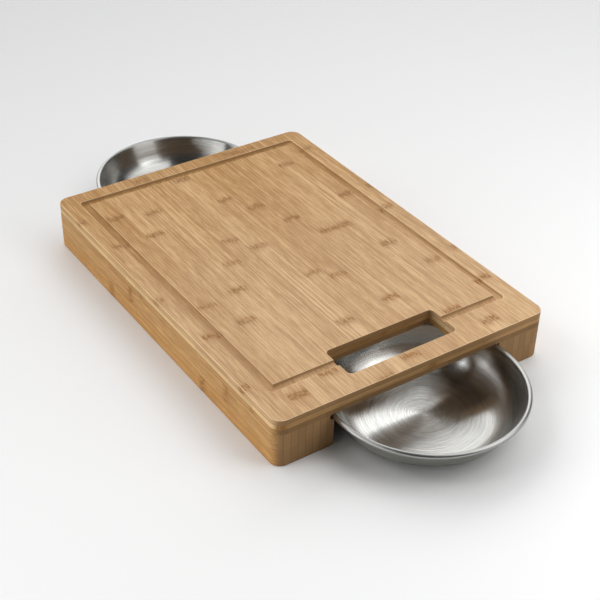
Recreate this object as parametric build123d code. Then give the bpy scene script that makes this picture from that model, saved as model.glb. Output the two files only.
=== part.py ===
from build123d import *
import os
from math import asin, atan2, cos, degrees, hypot, sin

# Cutting board with two sliding bowls, in millimetres. The origin is at the centre of the
# underside, +Z is up, and the long axis lies along Y with the chute at the -Y end.

# Board
board_length = 450.0
board_width = 320.0
board_corner_radius = 12.0
ply_thickness = 5.4
row_height = 19.0
edge_round = 1.2
lip_round = 0.5

# Chute through the panel
chute_width = 129.0
chute_length = 41.0
chute_front_inset = 22.5
chute_corner_radius = 5.0
cut_overrun = 1.0

# Juice groove, a ball-nosed cut round the top that drains into the chute
groove_width = 9.5
groove_depth = 3.0
groove_inset = 23.5
groove_front_inset = 44.0

# Bowls, pressed from sheet with a rolled rim
rim_radius = 100.0
rim_roll_diameter = 5.0
rim_roll_turn = 270.0
sheet_thickness = 0.8
bowl_floor_radius = 62.0
bowl_bend_radius = 30.0
table_clearance = 1.5
front_bowl_overhang = 11.0
rear_bowl_overhang = 1.0

# Bays that the bowls slide in
ledge_width = 5.0
rim_side_clearance = 1.5
rim_height_clearance = 0.4
bay_edge_round = 1.0
crossbar_thickness = 46.0

# Sizes that follow from those above
rail_height = 2 * row_height
panel_thickness = 3 * ply_thickness
board_height = rail_height + panel_thickness
rebate_half_width = rim_radius + rim_side_clearance
bay_half_width = rebate_half_width - ledge_width
rebate_height = rim_roll_diameter + 2 * rim_height_clearance
ledge_level = rail_height - rebate_height
rim_roll_radius = rim_roll_diameter / 2
rim_level = ledge_level + rim_height_clearance + rim_roll_radius


def board_slab(bottom, thickness):
    """A slab of the board's outline, standing on the level given."""
    outline = RectangleRounded(board_width, board_length, board_corner_radius)
    return Pos(0, 0, bottom) * extrude(outline, thickness)


def chute():
    """The opening that scraps are pushed through, cut past both faces of the panel."""
    middle = -board_length / 2 + chute_front_inset + chute_length / 2
    outline = RectangleRounded(chute_width, chute_length, chute_corner_radius)
    cut_height = panel_thickness + 2 * cut_overrun
    return Pos(0, middle, rail_height - cut_overrun) * extrude(outline, cut_height)


def juice_groove():
    """A ball-nosed cutter's path: out of the chute, round the top and back into the chute."""
    cutter_radius = (groove_width ** 2 / 4 + groove_depth ** 2) / (2 * groove_depth)
    level = board_height - groove_depth + cutter_radius
    side = board_width / 2 - groove_inset
    back = board_length / 2 - groove_inset
    front = -board_length / 2 + groove_front_inset
    inside_chute = chute_width / 4
    left_run = [(-inside_chute, front, level), (-side, front, level), (-side, back, level)]
    right_run = [(side, back, level), (side, front, level), (inside_chute, front, level)]
    cutter = Plane(origin=left_run[0], z_dir=(-1, 0, 0)) * Circle(cutter_radius)
    return sweep(cutter, path=Polyline(*left_run, *right_run), transition=Transition.ROUND)


def working_faces(ply):
    """The flat faces on top, first the one inside the groove and then the border round it."""
    return ply.faces().group_by(Axis.Z)[-1].sort_by(lambda face: face.bounding_box().size.Y)


def top_ply():
    """The working face, with the chute, the juice groove and every upper edge eased."""
    ply = board_slab(board_height - ply_thickness, ply_thickness) - chute() - juice_groove()
    island, border = working_faces(ply)
    ply = fillet(island.outer_wire().edges() + border.inner_wires()[0].edges(), lip_round)
    border = working_faces(ply)[-1]
    return fillet(border.outer_wire().edges(), edge_round)


def inner_ply(bottom):
    """A flat ply with the chute cut through it."""
    return board_slab(bottom, ply_thickness) - chute()


def rail_row(side, bottom):
    """One glued row of slats along a long edge, square to the bay and round at the corners."""
    width = board_width / 2 - bay_half_width
    middle = side * (bay_half_width + width / 2)
    band = Pos(middle, 0, bottom + row_height / 2) * Box(width, board_length, row_height)
    return board_slab(bottom, row_height) & band


def beside_bay(edges, side):
    """Those of a rail's edges that lie nearest to the middle of the board."""
    return edges.group_by(Axis.X)[0 if side > 0 else -1]


def lower_rail_row(side):
    """The row that stands on the table, eased all round its underside."""
    row = rail_row(side, 0)
    row = fillet(beside_bay(row.edges().filter_by(Axis.Z), side), bay_edge_round)
    return fillet(row.faces().sort_by(Axis.Z)[0].outer_wire().edges(), edge_round)


def upper_rail_row(side):
    """The row with the rebate, whose ledge carries the bowls' rims."""
    row = rail_row(side, row_height)
    middle = side * (bay_half_width + ledge_width / 2)
    rebate = Box(ledge_width, board_length, rebate_height)
    row -= Pos(middle, 0, rail_height - rebate_height / 2) * rebate
    bay_mouths = beside_bay(row.edges().filter_by(Axis.Z), side)
    ledge_lip = beside_bay(row.edges().filter_by(Axis.Y), side).sort_by(Axis.Z)[-1]
    return fillet(bay_mouths + [ledge_lip], bay_edge_round)


def crossbar_row(bottom):
    """A block between the rails that parts the two bays and stops the bowls."""
    return Pos(0, 0, bottom + row_height / 2) * Box(2 * bay_half_width, crossbar_thickness, row_height)


def bowl_line(offset):
    """The bowl's section at a depth into its sheet, from the axis to the end of the rolled rim."""
    floor_level = table_clearance + offset
    bend_centre = Vector(bowl_floor_radius, table_clearance + bowl_bend_radius)
    roll_centre = Vector(rim_radius - rim_roll_radius, rim_level)
    roll_inner = rim_roll_radius - sheet_thickness
    reach = roll_centre - bend_centre
    slope = atan2(reach.Y, reach.X) + asin((bowl_bend_radius + roll_inner) / hypot(reach.X, reach.Y))
    inward = Vector(-sin(slope), cos(slope))
    wall_start = bend_centre - inward * (bowl_bend_radius - offset)
    wall_end = roll_centre + inward * (roll_inner + offset)
    floor_edge = Vector(bowl_floor_radius, floor_level)
    roll_start = degrees(slope) + 90
    return Curve() + [
        Line((0, floor_level), floor_edge),
        CenterArc(bend_centre, bowl_bend_radius - offset, -90, degrees(slope)),
        Line(wall_start, wall_end),
        CenterArc(roll_centre, roll_inner + offset, roll_start, -rim_roll_turn),
    ]


def bowl(middle):
    """A round bowl spun from one disc, with its rim rolled outwards over the ledges."""
    outside = bowl_line(0)
    inside = bowl_line(sheet_thickness)
    section = make_face(outside.edges() + inside.edges() + [
        Line(outside @ 0, inside @ 0),
        Line(outside @ 1, inside @ 1),
    ])
    return Pos(0, middle, 0) * revolve(Plane.XZ * section, Axis.Z)


parts = {
    "top_ply": top_ply(),
    "core_ply": inner_ply(rail_height + ply_thickness),
    "bottom_ply": inner_ply(rail_height),
    "left_rail_upper": upper_rail_row(-1),
    "left_rail_lower": lower_rail_row(-1),
    "right_rail_upper": upper_rail_row(1),
    "right_rail_lower": lower_rail_row(1),
    "crossbar_upper": crossbar_row(row_height),
    "crossbar_lower": crossbar_row(0),
    "front_bowl": bowl(-board_length / 2 - front_bowl_overhang),
    "rear_bowl": bowl(board_length / 2 + rear_bowl_overhang),
}

os.makedirs("parts", exist_ok=True)
for name, shape in parts.items():
    export_step(shape, f"parts/{name}.step")
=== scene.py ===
from math import asin, atan2, cos, hypot, pi, radians, sin
from typing import NamedTuple

import bpy
from bpy.props import FloatProperty, FloatVectorProperty, IntProperty, PointerProperty
from mathutils import Matrix, Vector


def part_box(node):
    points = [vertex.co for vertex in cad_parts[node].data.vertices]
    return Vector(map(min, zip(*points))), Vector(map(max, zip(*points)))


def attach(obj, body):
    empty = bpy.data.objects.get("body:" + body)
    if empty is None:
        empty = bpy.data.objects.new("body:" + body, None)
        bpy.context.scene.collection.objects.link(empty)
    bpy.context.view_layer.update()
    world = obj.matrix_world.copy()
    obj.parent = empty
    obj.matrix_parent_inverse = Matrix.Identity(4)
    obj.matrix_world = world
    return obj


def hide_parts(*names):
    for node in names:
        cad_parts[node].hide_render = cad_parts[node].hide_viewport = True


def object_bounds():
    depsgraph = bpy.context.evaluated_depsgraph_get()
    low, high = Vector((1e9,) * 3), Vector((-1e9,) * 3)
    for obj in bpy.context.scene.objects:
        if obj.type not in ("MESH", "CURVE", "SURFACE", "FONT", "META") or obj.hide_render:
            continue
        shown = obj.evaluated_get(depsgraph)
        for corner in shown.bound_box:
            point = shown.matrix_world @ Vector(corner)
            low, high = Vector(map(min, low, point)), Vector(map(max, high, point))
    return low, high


bl_info = {
    "name": "Cutting Board with Sliding Bowls",
    "version": (1, 0, 0),
    "blender": (4, 5, 0),
    "location": "3D View > Sidebar > Cutting Board",
    "description": "Finishes a bamboo cutting board, spins its two steel bowls and lights them",
    "category": "Object",
}

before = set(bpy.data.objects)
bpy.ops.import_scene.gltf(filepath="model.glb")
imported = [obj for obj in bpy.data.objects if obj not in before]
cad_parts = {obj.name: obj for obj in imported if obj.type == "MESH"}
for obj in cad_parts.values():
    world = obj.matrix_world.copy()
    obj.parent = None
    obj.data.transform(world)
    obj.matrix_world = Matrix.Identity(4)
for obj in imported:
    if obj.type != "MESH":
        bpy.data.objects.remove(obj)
cad_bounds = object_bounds()

MM = 0.001

# The strips of the plies, in mm: their width, and how far right of the board's middle they are centred
STRIP_WIDTH = 20.36
TOP_STRIPS_MIDDLE = 1.0
LOWER_STRIPS_MIDDLE = 5.0

# The strips of the working face from left to right: tone from 0, brown, to 1, pale; redness and
# boldness of streaks from 0 to 1; and the places of up to three knots along the board, in mm.
TOP_STRIPS = (
    (0.40, 0.6, 0.3, (168, -4, -165)),
    (0.35, 0.8, 0.4, (105, -81)),
    (0.45, 0.9, 0.2, (157, -38, -200)),
    (0.60, 0.5, 0.5, (105, -79)),
    (0.70, 0.4, 0.8, (146, -30, -187)),
    (0.55, 0.5, 0.5, (215, 14)),
    (0.45, 0.4, 0.9, (52, -224)),
    (0.75, 0.3, 0.9, (193, 27, -131)),
    (0.50, 0.6, 0.4, (128, -45, -208)),
    (0.35, 0.8, 0.3, (97, -61)),
    (0.25, 0.5, 0.8, (56, -123)),
    (0.50, 0.6, 0.5, (216, 15)),
    (0.55, 0.6, 0.3, (213, 15, -172)),
    (0.62, 0.3, 0.8, (160, -40, -205)),
    (0.45, 0.6, 0.4, (67, -92)),
    (0.55, 0.5, 0.4, (179, 20, -145)),
    (0.50, 0.5, 0.3, (67, -85)),
)
# The place, well off the board, of a knot that a strip doesn't have
NO_KNOT = 400.0


class Value:
    """A socket that carries a number. Arithmetic on it adds Math nodes to its tree."""

    def __init__(self, tree, socket):
        self.tree = tree
        self.socket = socket

    def __add__(self, other):
        return self.tree.math("ADD", self, other)

    def __radd__(self, other):
        return self.tree.math("ADD", other, self)

    def __sub__(self, other):
        return self.tree.math("SUBTRACT", self, other)

    def __rsub__(self, other):
        return self.tree.math("SUBTRACT", other, self)

    def __mul__(self, other):
        return self.tree.math("MULTIPLY", self, other)

    def __rmul__(self, other):
        return self.tree.math("MULTIPLY", other, self)

    def __truediv__(self, other):
        return self.tree.math("DIVIDE", self, other)

    def __rtruediv__(self, other):
        return self.tree.math("DIVIDE", other, self)

    def __abs__(self):
        return self.tree.math("ABSOLUTE", self)

    def floor(self):
        return self.tree.math("FLOOR", self)

    def nearest(self):
        return self.tree.math("ROUND", self)

    def above(self, limit):
        return self.tree.math("GREATER_THAN", self, limit)

    def at_most(self, other):
        return self.tree.math("MINIMUM", self, other)

    def at_least(self, other):
        return self.tree.math("MAXIMUM", self, other)

    def within(self, low, high):
        return self.at_least(low).at_most(high)


class Nodes:
    """The nodes of a material or a world, added one by one."""

    def __init__(self, tree):
        self.tree = tree

    def node(self, kind, settings=None, inputs=None):
        """Adds a node, sets it up, feeds its sockets and returns its outputs by name."""
        made = self.tree.nodes.new(kind)
        for name, setting in (settings or {}).items():
            if name == "stops":
                self.set_stops(made.color_ramp, setting)
            elif name == "interpolation":
                made.color_ramp.interpolation = setting
            else:
                setattr(made, name, setting)
        self.feed(made, inputs or {})
        return {socket.name: Value(self, socket) for socket in made.outputs if socket.enabled}

    def feed(self, made, inputs):
        """Gives a node's sockets, by name or number, their values or links."""
        sockets = [socket for socket in made.inputs if socket.enabled]
        names = {socket.name: socket for socket in sockets}
        for key, given in inputs.items():
            socket = sockets[key] if isinstance(key, int) else names[key]
            if isinstance(given, Value):
                self.tree.links.new(given.socket, socket)
            elif socket.type == "RGBA":
                socket.default_value = (*given, 1.0)
            else:
                socket.default_value = given

    def set_stops(self, ramp, stops):
        """Gives a colour ramp its stops, each a place and a colour."""
        while len(ramp.elements) < len(stops):
            ramp.elements.new(1.0)
        for element, (place, colour) in zip(ramp.elements, stops):
            element.position = place
            element.color = (*colour, 1.0)

    def math(self, operation, *values):
        """A Math node's result, from values or plain numbers."""
        return self.node("ShaderNodeMath", {"operation": operation}, dict(enumerate(values)))["Value"]

    def fade(self, value, start, end):
        """0 at start and 1 at end, easing in and out, whichever of the two is larger."""
        settings = {"interpolation_type": "SMOOTHSTEP"}
        if start < end:
            inputs = {"Value": value, "From Min": start, "From Max": end}
        else:
            inputs = {"Value": value, "From Min": end, "From Max": start, "To Min": 1.0, "To Max": 0.0}
        return self.node("ShaderNodeMapRange", settings, inputs)["Result"]

    def mix(self, factor, first, second):
        """The first colour where the factor is 0, and the second where it is 1."""
        inputs = {"Factor": factor, "A": first, "B": second}
        return self.node("ShaderNodeMix", {"data_type": "RGBA"}, inputs)["Result"]

    def noise(self, x, y, z, detail=2.0, roughness=0.5):
        """Smooth noise about 0.5, whose marks are about 1 across in the units of x, y and z."""
        place = self.node("ShaderNodeCombineXYZ", None, {"X": x, "Y": y, "Z": z})["Vector"]
        inputs = {"Vector": place, "Scale": 1.0, "Detail": detail, "Roughness": roughness}
        return self.node("ShaderNodeTexNoise", None, inputs)["Fac"]

    def channels(self, colour):
        """The three channels of a colour, as numbers."""
        return list(self.node("ShaderNodeSeparateColor", None, {"Color": colour}).values())

    def chance(self, number):
        """Three random numbers from 0 to 1, the same each time for the same number."""
        noise = self.node("ShaderNodeTexWhiteNoise", {"noise_dimensions": "1D"}, {"W": number})
        return self.channels(noise["Color"])

    def place(self):
        """The place on the piece along X, Y and Z, in mm."""
        in_metres = self.node("ShaderNodeTexCoord")["Object"]
        in_mm = self.node(
            "ShaderNodeVectorMath", {"operation": "SCALE"}, {"Vector": in_metres, "Scale": 1 / MM}
        )["Vector"]
        return self.node("ShaderNodeSeparateXYZ", None, {"Vector": in_mm})

    def facing(self):
        """How far the surface faces along X, Y and Z."""
        normal = self.node("ShaderNodeTexCoord")["Normal"]
        return self.node("ShaderNodeSeparateXYZ", None, {"Vector": normal})

    def bump(self, height):
        """The normal of a surface that is raised by a height in mm."""
        inputs = {"Height": height, "Strength": 0.5, "Distance": MM}
        return self.node("ShaderNodeBump", None, inputs)["Normal"]


def new_finish(name):
    """A new material and the nodes that it is made of."""
    material = bpy.data.materials.new(name)
    material.use_nodes = True
    return material, Nodes(material.node_tree)


# Bamboo

# Places and distances in mm, each from where a mark starts to show to where it is full
GLUE_LINE = (0.5, 0.1)
KNOT_SWELLING = (24.0, 0.0)
KNOT_BAND = (7.0, 1.0)
KNOT_TAILS = (14.0, 2.0)
# Depths below the top where the groove's browner cut wood and its painted shade show
GROOVE_CUT_AND_SHADE_DEPTH = (0.4, 1.6)
# Depths where the sanded edges and their painted highlight show
SANDED_AND_HIGHLIGHT_DEPTH = (0.45, 0.25)
BACK_BORDER = (198.0, 214.0)
# Painted sheen: the stretch over which the working face pales towards near-white at the chute
PAINTED_SHEEN_STRETCH = (220.0, -120.0)


class Strips(NamedTuple):
    """The strips of one glued sheet: how they lie, in mm, their colours and their knots.

    A strip has a knot every knot_spacing, each knot_step further along than in the strip before.
    cut_turn is how squarely a face looks along the grain where the cut ends start to show, and
    where they are full.
    """

    grain: str
    across: str
    start: float
    width: float
    count: int
    seed: float
    pale: tuple
    brown: tuple
    end: tuple
    first_knot: float = 0.0
    knot_spacing: float = 190.0
    knot_step: float = 47.0
    seam_depth: float = 0.5
    end_contrast: float = 0.5
    cut_turn: tuple = (0.35, 0.9)


def strip_ramp(nodes, turn, rows):
    """A row of numbers for each strip, read from a stepped ramp."""
    stops = [(index / len(rows), row) for index, row in enumerate(rows)]
    settings = {"interpolation": "CONSTANT", "stops": stops}
    return nodes.channels(nodes.node("ShaderNodeValToRGB", settings, {"Fac": turn})["Color"])


def listed_strips(nodes, number, along):
    """Tone, redness, streaks, way past the nearest knot and its number, from TOP_STRIPS."""
    turn = (number + 0.5) / len(TOP_STRIPS)
    looks = [(tone, red, streaks) for tone, red, streaks, knots in TOP_STRIPS]
    places = [sorted((*knots, NO_KNOT, NO_KNOT)[:3]) for tone, red, streaks, knots in TOP_STRIPS]
    shares = [[(place + NO_KNOT) / (2 * NO_KNOT) for place in row] for row in places]
    tone, red, streaks = strip_ramp(nodes, turn, looks)
    first, second, third = [
        share * (2 * NO_KNOT) - NO_KNOT for share in strip_ramp(nodes, turn, shares)
    ]
    past_first = along.above((first + second) / 2)
    past_second = along.above((second + third) / 2)
    knot = first + past_first * (second - first) + past_second * (third - second)
    return tone, red, streaks, along - knot, past_first + past_second


def scattered_strips(nodes, number, along, strips):
    """The same as listed_strips for a sheet whose strips are taken as they come."""
    tone, red, streaks = nodes.chance(number + strips.seed)
    turn = (along - strips.first_knot - number * strips.knot_step) / strips.knot_spacing
    return tone, red, streaks, (turn - turn.nearest()) * strips.knot_spacing, turn.nearest()


class Bamboo:
    """Where a point lies in the strips of a glued sheet, and what the bamboo shows there.

    Only the working face is listed: its strips and knots are those of TOP_STRIPS.
    """

    def __init__(self, nodes, strips, listed):
        self.nodes = nodes
        self.strips = strips
        place = nodes.place()
        self.along, self.across, self.depth = place[strips.grain], place[strips.across], place["Z"]
        turn = (self.across - strips.start) / strips.width
        number = turn.floor().within(0, strips.count - 1)
        self.from_seam = abs(turn - turn.nearest().within(1, strips.count - 1)) * abs(strips.width)
        if listed:
            look = listed_strips(nodes, number, self.along)
        else:
            look = scattered_strips(nodes, number, self.along, strips)
        self.tone, self.red, self.streaks, self.past_knot, self.knot_number = look

        # Each knot has its own strength and width, and each length between two knots its own shade
        self.strength, self.girth = nodes.chance(number * 7.0 + self.knot_number + strips.seed)[:2]
        self.shade = nodes.chance(number * 5.0 + self.knot_number + self.past_knot.above(0.0))[0]

        # Fibres run along the strip, wander a little, and spread round a knot
        self.shift = number * 13.7 + strips.seed
        spread = 0.8 + nodes.fade(abs(self.past_knot), *KNOT_SWELLING) * 4.0
        wander = nodes.noise(self.along / 70.0, self.shift, self.depth / 9.0) - 0.5
        self.fibre = self.across + wander * spread
        self.threads = self.fibre_noise(1.0, 24.0, 3.0, 0.75)

    def fibre_noise(self, fineness, length, detail=2.0, roughness=0.5):
        """Noise drawn out along the fibres: so many marks to a mm across them, and so long in mm."""
        deep = self.shift + self.depth * fineness
        return self.nodes.noise(self.fibre * fineness, self.along / length, deep, detail, roughness)

    def paleness(self):
        """About 0 where the bamboo is brown and 1 where it is pale: its strip, then its fibres."""
        lines = self.fibre_noise(0.68, 170.0, 2.0, 0.65)
        bands = self.fibre_noise(0.16, 190.0, 1.0)
        clouds = self.fibre_noise(0.125, 26.0)
        bright_lines = self.nodes.fade(lines, 0.56, 0.72) * (0.14 + self.streaks * 0.38)
        level = (self.tone - 0.5) * 0.6 + (self.threads - 0.5) * 2.6
        level = level + (lines - 0.5) * (0.9 + self.streaks * 1.4) + bright_lines
        level = level + (bands - 0.5) * 0.6 + (clouds - 0.5) * (1.0 - self.streaks * 0.5)
        return level + (self.shade - 0.5) * 0.16 + 0.365

    def knot(self):
        """A ragged band right across the strip, with fainter strokes that run on past it."""
        unlike = self.shift + self.knot_number * 3.1
        ragged = self.nodes.noise(self.fibre * 0.28, unlike, self.depth * 0.28, 1.0) - 0.5
        off_band = abs(self.past_knot + 1.2 + ragged * 8.0) / (0.8 + self.girth * 0.4)
        strokes = self.nodes.fade(self.fibre_noise(0.62, 4.5, 2.0, 0.6), 0.42, 0.56)
        band = self.nodes.fade(off_band, *KNOT_BAND) * (0.2 + strokes * 0.8)
        off_tails = abs(self.past_knot + 1.5 + ragged * 6.0)
        dark_threads = self.nodes.fade(self.threads, 0.6, 0.4)
        tails = self.nodes.fade(off_tails, *KNOT_TAILS) * (0.3 + dark_threads * 0.7)
        return (band * 0.82 + tails * 0.36) * (0.62 + self.strength * 0.38)

    def specks(self):
        """The fibres that a cut across the strips lays open."""
        deep = self.depth * 1.6 + self.shift
        return self.nodes.noise(self.across * 1.6, self.along * 0.2, deep, 3.0, 0.7)

    def glue_lines(self, joints, show):
        """Thin lines between the strips, and at the joints to the sheets above and below."""
        lines = self.nodes.fade(self.from_seam, *GLUE_LINE) * self.strips.seam_depth
        for joint in joints:
            lines = lines.at_least(self.nodes.fade(abs(self.depth - joint), *GLUE_LINE) * show)
        return lines


def joint_levels(node):
    """The heights, in mm, at which a sheet is glued to the one below it or above it."""
    board_low, board_high = cad_bounds
    low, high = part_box(node)
    return [level / MM for level in (low.z, high.z) if board_low.z + MM < level < board_high.z - MM]


def give_bamboo(node, name, wood, strips, listed=False):
    """Gives a glued sheet of the frame its finish of bamboo."""
    material, nodes = new_finish(name)
    bamboo = Bamboo(nodes, strips, listed)
    knot = bamboo.knot()
    facing = nodes.facing()
    sunk = cad_bounds[1].z / MM - bamboo.depth
    # Where the cutter went: browner cut wood, and painted shade in the recess
    groove_cut_and_shade = nodes.fade(sunk, *GROOVE_CUT_AND_SHADE_DEPTH) * nodes.fade(facing["Z"], 0.15, 0.40)

    # The bamboo is browner in the juice groove, partly its cut wood and partly painted shade in the recess,
    # and browner behind the groove; a painted sheen pales it towards the chute
    level = bamboo.paleness() - groove_cut_and_shade * 0.12
    if listed:
        level = level - nodes.fade(bamboo.along, *BACK_BORDER) * 0.18
    level = level.within(0.0, 1.0)
    colour = nodes.mix(level, strips.brown, strips.pale)
    colour = nodes.mix(bamboo.red * 0.6, colour, nodes.mix(level, wood.red_brown, wood.red_pale))
    # Painted sheen, paling the working face towards near-white at the chute
    if listed:
        colour = nodes.mix(nodes.fade(bamboo.along, *PAINTED_SHEEN_STRETCH) * 0.1, colour, wood.painted_sheen_colour)

    # Knots are dark; the groove gets the same dark colour as painted shade over its browner cut wood, most
    # of all on its steep sides
    steep_painted_shade = nodes.fade(facing["Z"], 0.95, 0.70)
    knots_and_groove_shade = knot.at_least(groove_cut_and_shade * (0.16 + steep_painted_shade * 0.34)).at_most(0.85)
    colour = nodes.mix(knots_and_groove_shade, colour, wood.knot_and_groove_shade_colour)

    # The ends of the strips show the cut fibres as specks
    cut = nodes.fade(abs(facing[strips.grain]), *strips.cut_turn)
    specks = bamboo.specks()
    cut_level = (bamboo.tone - 0.5) * strips.end_contrast + (specks - 0.5) * 1.1 + 0.55
    dark_end = [channel * 0.6 for channel in strips.end]
    colour = nodes.mix(cut, colour, nodes.mix(cut_level.within(0.0, 1.0), dark_end, strips.end))

    # The rounded edges round the top and the groove's lips are sanded pale and also carry a painted
    # highlight where the rounding would catch the light
    rounded_edge_highlight = nodes.fade(facing["Z"], 0.995, 0.93) * nodes.fade(facing["Z"], 0.30, 0.60)
    colour = nodes.mix(rounded_edge_highlight * nodes.fade(sunk, *SANDED_AND_HIGHLIGHT_DEPTH) * 0.7, colour, wood.sanded_edge_and_highlight_colour)

    # The joint to the next sheet shows on upright faces, and less on the cut ends
    upright = nodes.fade(abs(facing["Z"]), 0.85, 0.5)
    seam = bamboo.glue_lines(joint_levels(node), upright * (0.6 - cut * 0.3))
    colour = nodes.mix(seam, colour, wood.seam_colour)

    height = bamboo.threads * 0.10 - knot * 0.04 - seam * 0.06 + specks * cut * 0.08
    nodes.feed(material.node_tree.nodes["Principled BSDF"], {
        "Base Color": colour,
        "Roughness": 0.50 + bamboo.threads * 0.14 + cut * 0.12 - knot * 0.05,
        "Specular IOR Level": 0.15,
        "Normal": nodes.bump(height),
    })
    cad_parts[node].material_slots[0].material = material


# Steel


def brushed_steel(name, middle, bowl):
    """Steel brushed in circles about the bowl's axis, coarser on the floor than on the wall."""
    material, nodes = new_finish(name)
    place = nodes.place()
    x = place["X"]
    y = place["Y"] - middle / MM
    radius = nodes.math("SQRT", x * x + y * y)
    floor_radius = bowl.floor_radius / MM
    on_floor = nodes.fade(radius, floor_radius + 4.0, floor_radius - 6.0)

    # Brush lines lie round the axis, so they change quickly outwards and slowly round it
    outward = radius + place["Z"] * 0.9
    round_x = x / (radius + 0.5)
    round_y = y / (radius + 0.5)
    fine = nodes.noise(outward * 1.2, round_x * 2.5, round_y * 2.5, 3.0, 0.75)
    rings = nodes.noise(outward * 0.95, round_x * 0.45, round_y * 0.45, 3.0, 0.7)
    lines = (fine - 0.5) * 2.4 + (rings - 0.5) * (0.9 + on_floor * 0.8) + 0.5
    dull = [channel * 0.72 for channel in bowl.steel_colour]
    bright = [min(1.0, channel * 1.14) for channel in bowl.steel_colour]
    steel = nodes.mix(lines.within(0.0, 1.0), dull, bright)
    # The outside is rougher, and darker as painted shade of the shadowed floor it reflects
    outside = nodes.fade(nodes.facing()["Z"], 0.05, -0.05)
    steel = nodes.mix(outside, steel, bowl.outside_shade_colour)
    nodes.feed(material.node_tree.nodes["Principled BSDF"], {
        "Base Color": steel,
        "Metallic": 1.0,
        "Roughness": bowl.brushed_roughness + (fine - 0.5) * 0.10 + outside * 0.15,
        "Anisotropic": bowl.brushing,
        "Anisotropic Rotation": 0.25,
        "Normal": nodes.bump(rings * on_floor * 0.0012),
    })
    return material


def polished_steel(name, bowl):
    """The steel of the rolled rim, buffed to a satin that is a little uneven."""
    material, nodes = new_finish(name)
    place = nodes.place()
    scuffs = nodes.noise(place["X"] / 7.0, place["Y"] / 7.0, place["Z"] * 2.0, 3.0, 0.6)
    nodes.feed(material.node_tree.nodes["Principled BSDF"], {
        "Base Color": bowl.rim_colour,
        "Metallic": 1.0,
        "Roughness": bowl.rim_roughness + (scuffs - 0.5) * 0.10,
    })
    return material


# What a user can change

COLOUR = {"size": 3, "subtype": "COLOR", "min": 0.0, "max": 1.0}


class BoardWood(bpy.types.PropertyGroup):
    """Colours of the board's bamboo."""

    face_pale: FloatVectorProperty(
        name="Face, pale", description="Pale fibres of the working face",
        default=(0.70, 0.455, 0.228), **COLOUR,
    )
    face_brown: FloatVectorProperty(
        name="Face, brown", description="Brown fibres of the working face",
        default=(0.405, 0.212, 0.068), **COLOUR,
    )
    red_pale: FloatVectorProperty(
        name="Redder, pale", description="Pale fibres of the redder strips",
        default=(0.625, 0.368, 0.140), **COLOUR,
    )
    red_brown: FloatVectorProperty(
        name="Redder, brown", description="Brown fibres of the redder strips",
        default=(0.405, 0.190, 0.048), **COLOUR,
    )
    side_pale: FloatVectorProperty(
        name="Side, pale", description="Pale fibres of the rails",
        default=(0.645, 0.394, 0.173), **COLOUR,
    )
    side_brown: FloatVectorProperty(
        name="Side, brown", description="Brown fibres of the rails",
        default=(0.405, 0.225, 0.083), **COLOUR,
    )
    end_colour: FloatVectorProperty(
        name="Cut end", description="Cut ends of the face strips and the slats",
        default=(0.39, 0.226, 0.099), **COLOUR,
    )
    lower_end_colour: FloatVectorProperty(
        name="Lower cut end", description="Cut ends of the lower ply's strips",
        default=(0.30, 0.171, 0.074), **COLOUR,
    )
    core_pale: FloatVectorProperty(
        name="Core, pale", description="Pale fibres of the core's cross strips",
        default=(0.43, 0.255, 0.110), **COLOUR,
    )
    core_brown: FloatVectorProperty(
        name="Core, brown", description="Brown fibres of the core's cross strips",
        default=(0.25, 0.132, 0.046), **COLOUR,
    )
    core_end_colour: FloatVectorProperty(
        name="Core's cut end", description="Cut ends of the core's cross strips",
        default=(0.79, 0.55, 0.285), **COLOUR,
    )
    # Also the dark colour of the painted shade in the juice groove
    knot_and_groove_shade_colour: FloatVectorProperty(
        name="Knot and groove shade", description="Dark strokes where the cane had a joint",
        default=(0.270, 0.112, 0.022), **COLOUR,
    )
    # Partly sanded pale wood, partly a painted highlight on the rounded edges
    sanded_edge_and_highlight_colour: FloatVectorProperty(
        name="Sanded edge and highlight", description="Rounded edges round the top and the groove",
        default=(0.95, 0.72, 0.43), **COLOUR,
    )
    # Painted sheen: the near-white that the working face fades towards at the chute
    painted_sheen_colour: FloatVectorProperty(
        name="Painted sheen", description="Colour that the working face fades towards at the chute",
        default=(0.90, 0.84, 0.76), **COLOUR,
    )
    seam_colour: FloatVectorProperty(
        name="Seam", description="Glue line between two strips",
        default=(0.20, 0.11, 0.05), **COLOUR,
    )
    # Painted light: the rails' lower row is made paler, standing in for light bounced up from the floor
    lower_row_painted_light: FloatProperty(
        name="Lower row, painted light", description="How many times paler the rails' lower row is than the upper",
        default=1.33, min=0.0,
    )
    slats_in_rail: IntProperty(
        name="Slats in a rail", description="Slats side by side in one row of a rail",
        default=8, min=1,
    )
    slats_in_crossbar: IntProperty(
        name="Slats in the crossbar", description="Slats side by side in one row of the crossbar",
        default=6, min=1,
    )


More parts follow.
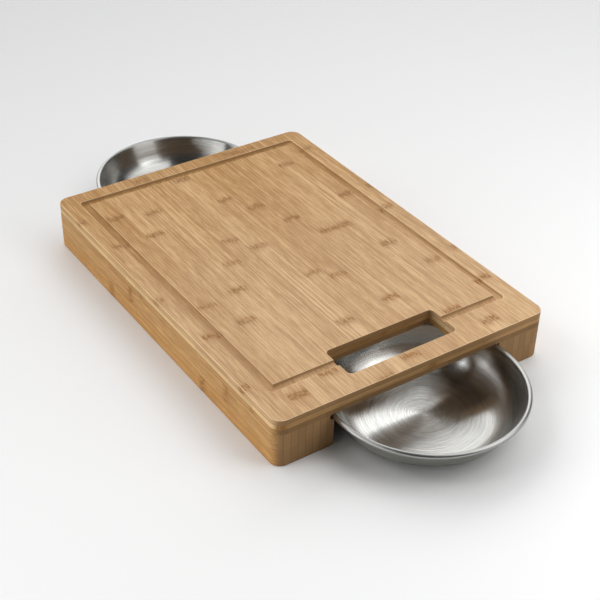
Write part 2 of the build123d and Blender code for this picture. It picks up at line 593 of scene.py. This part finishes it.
class BowlSteel(bpy.types.PropertyGroup):
    """Sizes and finish of the steel bowls."""

    sheet_thickness: FloatProperty(
        name="Sheet", description="Thickness of the steel sheet",
        default=0.8 * MM, unit="LENGTH", min=0.1 * MM,
    )
    floor_radius: FloatProperty(
        name="Floor radius", description="Radius of the bowl's flat floor",
        default=62.0 * MM, unit="LENGTH", min=1.0 * MM,
    )
    bend_radius: FloatProperty(
        name="Bend radius", description="Outer radius of the bend from the floor to the wall",
        default=30.0 * MM, unit="LENGTH", min=1.0 * MM,
    )
    roll_diameter: FloatProperty(
        name="Rim roll", description="Diameter of the rolled rim",
        default=5.0 * MM, unit="LENGTH", min=1.0 * MM,
    )
    roll_turn: FloatProperty(
        name="Rim turn", description="How far the rim is rolled round",
        default=radians(270.0), subtype="ANGLE", min=0.0,
    )
    steps_around: IntProperty(
        name="Steps", description="Steps of the spin round the bowl's axis",
        default=192, min=24,
    )
    steel_colour: FloatVectorProperty(
        name="Steel", description="Colour that the steel reflects",
        default=(0.53, 0.53, 0.51), **COLOUR,
    )
    # Painted shade: the outside is darker, standing in for the shadowed floor it reflects; it is also
    # rougher
    outside_shade_colour: FloatVectorProperty(
        name="Outside, painted shade", description="Colour that the duller outside of the bowls reflects",
        default=(0.27, 0.27, 0.245), **COLOUR,
    )
    rim_colour: FloatVectorProperty(
        name="Rim", description="Colour that the rolled rim reflects",
        default=(0.36, 0.36, 0.35), **COLOUR,
    )
    brushed_roughness: FloatProperty(
        name="Brushed roughness", description="Roughness of the brushed steel",
        default=0.25, min=0.0, max=1.0,
    )
    brushing: FloatProperty(
        name="Brushing", description="How strongly the brush lines stretch a highlight",
        default=0.9, min=0.0, max=1.0,
    )
    rim_roughness: FloatProperty(
        name="Rim roughness", description="Roughness of the satin rim",
        default=0.33, min=0.0, max=1.0,
    )


class Studio(bpy.types.PropertyGroup):
    """The camera, the lamps and the floor."""

    azimuth: FloatProperty(
        name="Azimuth", description="Where the camera stands round the board, 0 in front of the chute",
        default=radians(-34.854), subtype="ANGLE",
    )
    elevation: FloatProperty(
        name="Elevation", description="How high the camera stands above the horizon",
        default=radians(35.4), subtype="ANGLE",
    )
    roll: FloatProperty(
        name="Roll", description="How far the camera leans about its line of sight",
        default=radians(1.527), subtype="ANGLE",
    )
    distance: FloatProperty(
        name="Distance", description="Distance from the camera to the point it looks at",
        default=1.3552, unit="LENGTH", min=0.1,
    )
    look_at: FloatVectorProperty(
        name="Look at", description="Point on the table in the middle of the view",
        default=(0.00639, -0.01678, 0.0), size=3, subtype="TRANSLATION", unit="LENGTH",
    )
    lens: FloatProperty(
        name="Lens", description="Focal length for a sensor 36 mm wide, in mm",
        default=75.73, min=1.0,
    )
    floor_colour: FloatVectorProperty(
        name="Floor", description="Colour of the floor",
        default=(0.90, 0.90, 0.90), **COLOUR,
    )
    wall_azimuth: FloatProperty(
        name="Wall azimuth", description="Where the middle of the bright white wall stands round the board",
        default=radians(183.0), subtype="ANGLE",
    )
    wall_elevation: FloatProperty(
        name="Wall elevation", description="How high the middle of the wall stands above the horizon",
        default=radians(34.0), subtype="ANGLE",
    )
    wall_width: FloatProperty(
        name="Wall width", description="How wide the wall looks from the board",
        default=radians(132.0), subtype="ANGLE", min=0.0, max=pi,
    )
    wall_height: FloatProperty(
        name="Wall height", description="How high the wall looks from the board",
        default=radians(42.0), subtype="ANGLE", min=0.0, max=pi,
    )
    wall_edge: FloatProperty(
        name="Wall edge", description="How wide the soft edge round the wall is",
        default=radians(6.0), subtype="ANGLE", min=0.01,
    )
    wall_brightness: FloatProperty(
        name="Wall brightness", description="Brightness of the wall",
        default=2.35, min=0.0,
    )
    room_brightness: FloatProperty(
        name="Room brightness", description="Brightness of the rest of the room",
        default=0.05, min=0.0,
    )


# The steps that dress the board


class BOARD_OT_finish_plies(bpy.types.Operator):
    """Give the three plies of the panel their strips of bamboo"""

    bl_idname = "board.finish_plies"
    bl_label = "Finish Plies"

    def execute(self, context):
        wood = context.scene.board_wood
        low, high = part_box("top_ply")
        count = len(TOP_STRIPS)
        half_width = count * STRIP_WIDTH / 2
        give_bamboo("top_ply", "working_face_bamboo", wood, Strips(
            grain="Y", across="X", start=TOP_STRIPS_MIDDLE - half_width, width=STRIP_WIDTH,
            count=count, seed=3.0,
            pale=wood.face_pale, brown=wood.face_brown, end=wood.end_colour,
            seam_depth=0.15, end_contrast=0.4,
        ), listed=True)
        give_bamboo("core_ply", "core_bamboo", wood, Strips(
            grain="X", across="Y", start=low.y / MM, width=STRIP_WIDTH,
            count=int((high.y - low.y) / MM / STRIP_WIDTH), seed=77.0,
            pale=wood.core_pale, brown=wood.core_brown, end=wood.core_end_colour,
            first_knot=18.0, knot_spacing=170.0, knot_step=53.0,
            seam_depth=0.2, cut_turn=(0.7, 0.98),
        ))
        give_bamboo("bottom_ply", "lower_ply_bamboo", wood, Strips(
            grain="Y", across="X", start=LOWER_STRIPS_MIDDLE - half_width, width=STRIP_WIDTH,
            count=count, seed=41.0,
            pale=wood.side_pale, brown=wood.side_brown, end=wood.lower_end_colour,
            first_knot=30.0, knot_spacing=213.0, knot_step=67.0, seam_depth=0.2,
        ))
        return {"FINISHED"}


class BOARD_OT_finish_rails(bpy.types.Operator):
    """Give each row of the two rails its slats on edge"""

    bl_idname = "board.finish_rails"
    bl_label = "Finish Rails"

    def execute(self, context):
        for side, first_knots in (("left", (53.0, 97.0)), ("right", (-20.0, 64.0))):
            for row, first_knot in zip(("upper", "lower"), first_knots):
                self.finish_row(context.scene.board_wood, side, row, first_knot)
        return {"FINISHED"}

    def finish_row(self, wood, side, row, first_knot):
        """Lays the slats of one row from the board's outer side to the bay."""
        node = f"{side}_rail_{row}"
        low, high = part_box(node)
        outer, inner = (low.x, high.x) if side == "left" else (high.x, low.x)
        # Painted light: the lower row is made paler, standing in for light from the floor
        painted_light = wood.lower_row_painted_light if row == "lower" else 1.0
        give_bamboo(node, f"{node}_bamboo", wood, Strips(
            grain="Y", across="X", start=outer / MM,
            width=(inner - outer) / MM / wood.slats_in_rail, count=wood.slats_in_rail,
            seed=first_knot,
            pale=[painted_light * channel for channel in wood.side_pale],
            brown=[painted_light * channel for channel in wood.side_brown],
            end=wood.end_colour, first_knot=first_knot, seam_depth=0.8, end_contrast=0.35,
        ))


class BOARD_OT_finish_crossbar(bpy.types.Operator):
    """Give both rows of the crossbar their slats, which lie from rail to rail"""

    bl_idname = "board.finish_crossbar"
    bl_label = "Finish Crossbar"

    def execute(self, context):
        wood = context.scene.board_wood
        for row, first_knot in (("upper", 25.0), ("lower", -40.0)):
            node = f"crossbar_{row}"
            low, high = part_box(node)
            give_bamboo(node, f"{node}_bamboo", wood, Strips(
                grain="X", across="Y", start=low.y / MM,
                width=(high.y - low.y) / MM / wood.slats_in_crossbar, count=wood.slats_in_crossbar,
                seed=first_knot + 9.0,
                pale=wood.side_pale, brown=wood.side_brown, end=wood.end_colour,
                first_knot=first_knot, seam_depth=0.8, end_contrast=0.35,
            ))
        return {"FINISHED"}


# The steps of the section's two arcs, and the shares of its straight stretches where it has points
BEND_STEPS = 14
ROLL_STEPS = 22
FLOOR_SHARES = (0.0, 0.5, 0.97)
WALL_SHARES = (0.08, 0.5, 0.95)
MERGE_DISTANCE = 0.01 * MM
SMOOTH_ANGLE = radians(35.0)


def arc(centre, radius, start, turn, steps):
    """Points along an arc in the plane of the section, both its ends among them."""
    angles = [start + turn * step / steps for step in range(steps + 1)]
    return [centre + radius * Vector((cos(angle), sin(angle))) for angle in angles]


def sheet_line(bowl, low, high, offset):
    """One side of the sheet's section, as distances from the axis and heights."""
    roll_radius = bowl.roll_diameter / 2
    rim_radius = min(high.x - low.x, high.y - low.y) / 2
    bend_centre = Vector((bowl.floor_radius, low.z + bowl.bend_radius))
    roll_centre = Vector((rim_radius - roll_radius, high.z - roll_radius))
    roll_inner = roll_radius - bowl.sheet_thickness
    reach = roll_centre - bend_centre
    slope = atan2(reach.y, reach.x) + asin((bowl.bend_radius + roll_inner) / hypot(reach.x, reach.y))
    floor = [Vector((share * bowl.floor_radius, low.z + offset)) for share in FLOOR_SHARES]
    bend = arc(bend_centre, bowl.bend_radius - offset, -pi / 2, slope, BEND_STEPS)
    roll = arc(roll_centre, roll_inner + offset, slope + pi / 2, -bowl.roll_turn, ROLL_STEPS)
    wall = [bend[-1].lerp(roll[0], share) for share in WALL_SHARES]
    return floor + bend + wall + roll


def draw_section(points):
    """Extrudes one vertex from point to point in the XZ plane."""
    bpy.ops.mesh.primitive_plane_add(size=MM, location=(points[0].x, 0.0, points[0].y))
    bpy.ops.object.mode_set(mode="EDIT")
    bpy.ops.mesh.select_mode(type="VERT")
    bpy.ops.mesh.merge(type="CENTER")
    for here, there in zip(points, points[1:]):
        step = (there.x - here.x, 0.0, there.y - here.y)
        bpy.ops.mesh.extrude_region_move(TRANSFORM_OT_translate={"value": step})


class BOARD_OT_spin_bowls(bpy.types.Operator):
    """Spin the two steel bowls from the section of their sheet"""

    bl_idname = "board.spin_bowls"
    bl_label = "Spin Bowls"

    def execute(self, context):
        for body in ("front_bowl", "rear_bowl"):
            self.spin(context, body)
        return {"FINISHED"}

    def spin(self, context, body):
        """Spins a bowl round its axis, moves it into place and lets it stand in for the CAD one."""
        bowl = context.scene.bowl_steel
        low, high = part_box(body)
        middle = (low.y + high.y) / 2
        outside = sheet_line(bowl, low, high, 0.0)
        inside = sheet_line(bowl, low, high, bowl.sheet_thickness)
        bpy.ops.object.select_all(action="DESELECT")
        draw_section(outside + inside[::-1])
        piece = context.object
        piece.name = body.replace("bowl", "spun_bowl")
        bpy.ops.mesh.select_all(action="SELECT")
        bpy.ops.mesh.spin(steps=bowl.steps_around, angle=2 * pi, center=(0, 0, 0), axis=(0, 0, 1))
        bpy.ops.mesh.select_all(action="SELECT")
        bpy.ops.mesh.remove_doubles(threshold=MERGE_DISTANCE)
        bpy.ops.transform.translate(value=(0.0, middle, 0.0))
        bpy.ops.mesh.normals_make_consistent(inside=False)
        bpy.ops.object.mode_set(mode="OBJECT")
        bpy.ops.object.transform_apply(location=True, rotation=True, scale=True)
        bpy.ops.object.shade_smooth_by_angle(angle=SMOOTH_ANGLE)
        piece.data.materials.append(brushed_steel(f"{body}_brushed", middle, bowl))
        piece.data.materials.append(polished_steel(f"{body}_rim", bowl))
        roll_start = (high.x - low.x) / 2 - bowl.roll_diameter
        for face in piece.data.polygons:
            if hypot(face.center.x, face.center.y - middle) > roll_start:
                face.material_index = 1
        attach(piece, body)
        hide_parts(body)


# The side of the square floor, in metres
FLOOR_SIZE = 60.0

# The soft lamps: where each stands and how wide and tall it is, in metres, and its power in watts
LAMPS = {
    "overhead_softbox": ((0.86, -0.28, 1.78), (2.18, 1.46), 15.2),
    "front_softbox": ((0.44, -0.66, 0.48), (0.62, 0.78), 2.55),
    "left_strip": ((-1.00, -0.15, 0.22), (1.00, 0.28), 2.2),
    "left_spot": ((-1.20, 0.18, 1.60), (0.58, 0.58), 4.3),
}


def direction(azimuth, elevation):
    """The way from the board to what stands round it at an azimuth and an elevation."""
    flat = cos(elevation)
    return Vector((sin(azimuth) * flat, -cos(azimuth) * flat, sin(elevation)))


class BOARD_OT_set_stage(bpy.types.Operator):
    """Lay the floor, hang the lamps and stand the camera"""

    bl_idname = "board.set_stage"
    bl_label = "Set Stage"

    def execute(self, context):
        studio = context.scene.studio
        self.lay_floor(context, studio)
        self.light_room(context, studio)
        for name, (location, size, power) in LAMPS.items():
            self.hang_lamp(context, name, Vector(location), size, power)
        self.stand_camera(context, studio)
        return {"FINISHED"}

    def lay_floor(self, context, studio):
        """Lays a plain pale floor under the board."""
        bpy.ops.object.select_all(action="DESELECT")
        bpy.ops.mesh.primitive_plane_add(size=FLOOR_SIZE)
        floor = context.object
        floor.name = "studio_floor"
        material, nodes = new_finish("studio_floor")
        nodes.feed(material.node_tree.nodes["Principled BSDF"], {
            "Base Color": studio.floor_colour,
            "Roughness": 0.9,
            "Specular IOR Level": 0.1,
        })
        floor.data.materials.append(material)

    def light_room(self, context, studio):
        """Makes the room dim, with one bright white wall that has soft edges."""
        world = bpy.data.worlds.new("studio_room")
        world.use_nodes = True
        nodes = Nodes(world.node_tree)
        ray = nodes.node("ShaderNodeTexCoord")["Generated"]
        into = direction(studio.wall_azimuth, studio.wall_elevation)
        level = into.cross((0.0, 0.0, 1.0)).normalized()
        inward, sideways, upward = [
            nodes.node("ShaderNodeVectorMath", {"operation": "DOT_PRODUCT"}, {0: ray, 1: axis})["Value"]
            for axis in (into, level, level.cross(into))
        ]
        wall = 1.0
        for away, size in ((sideways, studio.wall_width), (upward, studio.wall_height)):
            angle = abs(nodes.math("ARCTAN2", away, inward))
            edge = studio.wall_edge / 2
            wall = nodes.fade(angle, size / 2 + edge, size / 2 - edge) * wall
        strength = studio.room_brightness + wall * (studio.wall_brightness - studio.room_brightness)
        nodes.feed(world.node_tree.nodes["Background"], {"Color": (1, 1, 1), "Strength": strength})
        context.scene.world = world

    def hang_lamp(self, context, name, location, size, power):
        """Hangs a soft lamp that shines at the middle of the board."""
        bpy.ops.object.light_add(type="AREA", location=location)
        lamp = context.object
        lamp.name = name
        lamp.rotation_euler = (-location).to_track_quat("-Z", "Y").to_euler()
        lamp.data.shape = "RECTANGLE"
        lamp.data.size, lamp.data.size_y = size
        lamp.data.energy = power

    def stand_camera(self, context, studio):
        """Stands the camera where the photograph was taken from."""
        bpy.ops.object.camera_add()
        camera = context.object
        camera.name = "photo_camera"
        back = direction(studio.azimuth, studio.elevation)
        level = Vector((0.0, 0.0, 1.0)).cross(back).normalized()
        rise = back.cross(level)
        right = cos(studio.roll) * level + sin(studio.roll) * rise
        up = cos(studio.roll) * rise - sin(studio.roll) * level
        turn = Matrix((right, up, back)).transposed().to_4x4()
        camera.matrix_world = Matrix.Translation(Vector(studio.look_at) + back * studio.distance) @ turn
        camera.data.lens = studio.lens
        context.scene.camera = camera
        context.scene.view_settings.view_transform = "Standard"


class BOARD_PT_sidebar(bpy.types.Panel):
    """Lists the steps that dress the board"""

    bl_idname = "BOARD_PT_sidebar"
    bl_label = "Cutting Board"
    bl_space_type = "VIEW_3D"
    bl_region_type = "UI"
    bl_category = "Cutting Board"

    def draw(self, context):
        layout = self.layout
        for step in STEPS:
            layout.operator(step.bl_idname)
        for settings in (context.scene.board_wood, context.scene.bowl_steel, context.scene.studio):
            box = layout.box()
            for name in settings.__annotations__:
                box.prop(settings, name)


STEPS = (
    BOARD_OT_finish_plies,
    BOARD_OT_finish_rails,
    BOARD_OT_finish_crossbar,
    BOARD_OT_spin_bowls,
    BOARD_OT_set_stage,
)
GROUPS = {"board_wood": BoardWood, "bowl_steel": BowlSteel, "studio": Studio}


def register():
    for group in GROUPS.values():
        bpy.utils.register_class(group)
    for name, group in GROUPS.items():
        setattr(bpy.types.Scene, name, PointerProperty(type=group))
    for step in STEPS:
        bpy.utils.register_class(step)
    bpy.utils.register_class(BOARD_PT_sidebar)


def unregister():
    bpy.utils.unregister_class(BOARD_PT_sidebar)
    for step in reversed(STEPS):
        bpy.utils.unregister_class(step)
    for name, group in GROUPS.items():
        delattr(bpy.types.Scene, name)
        bpy.utils.unregister_class(group)


def main():
    """Dresses the board."""
    register()
    bpy.ops.board.finish_plies()
    bpy.ops.board.finish_rails()
    bpy.ops.board.finish_crossbar()
    bpy.ops.board.spin_bowls()
    bpy.ops.board.set_stage()


if __name__ == "__main__":
    main()
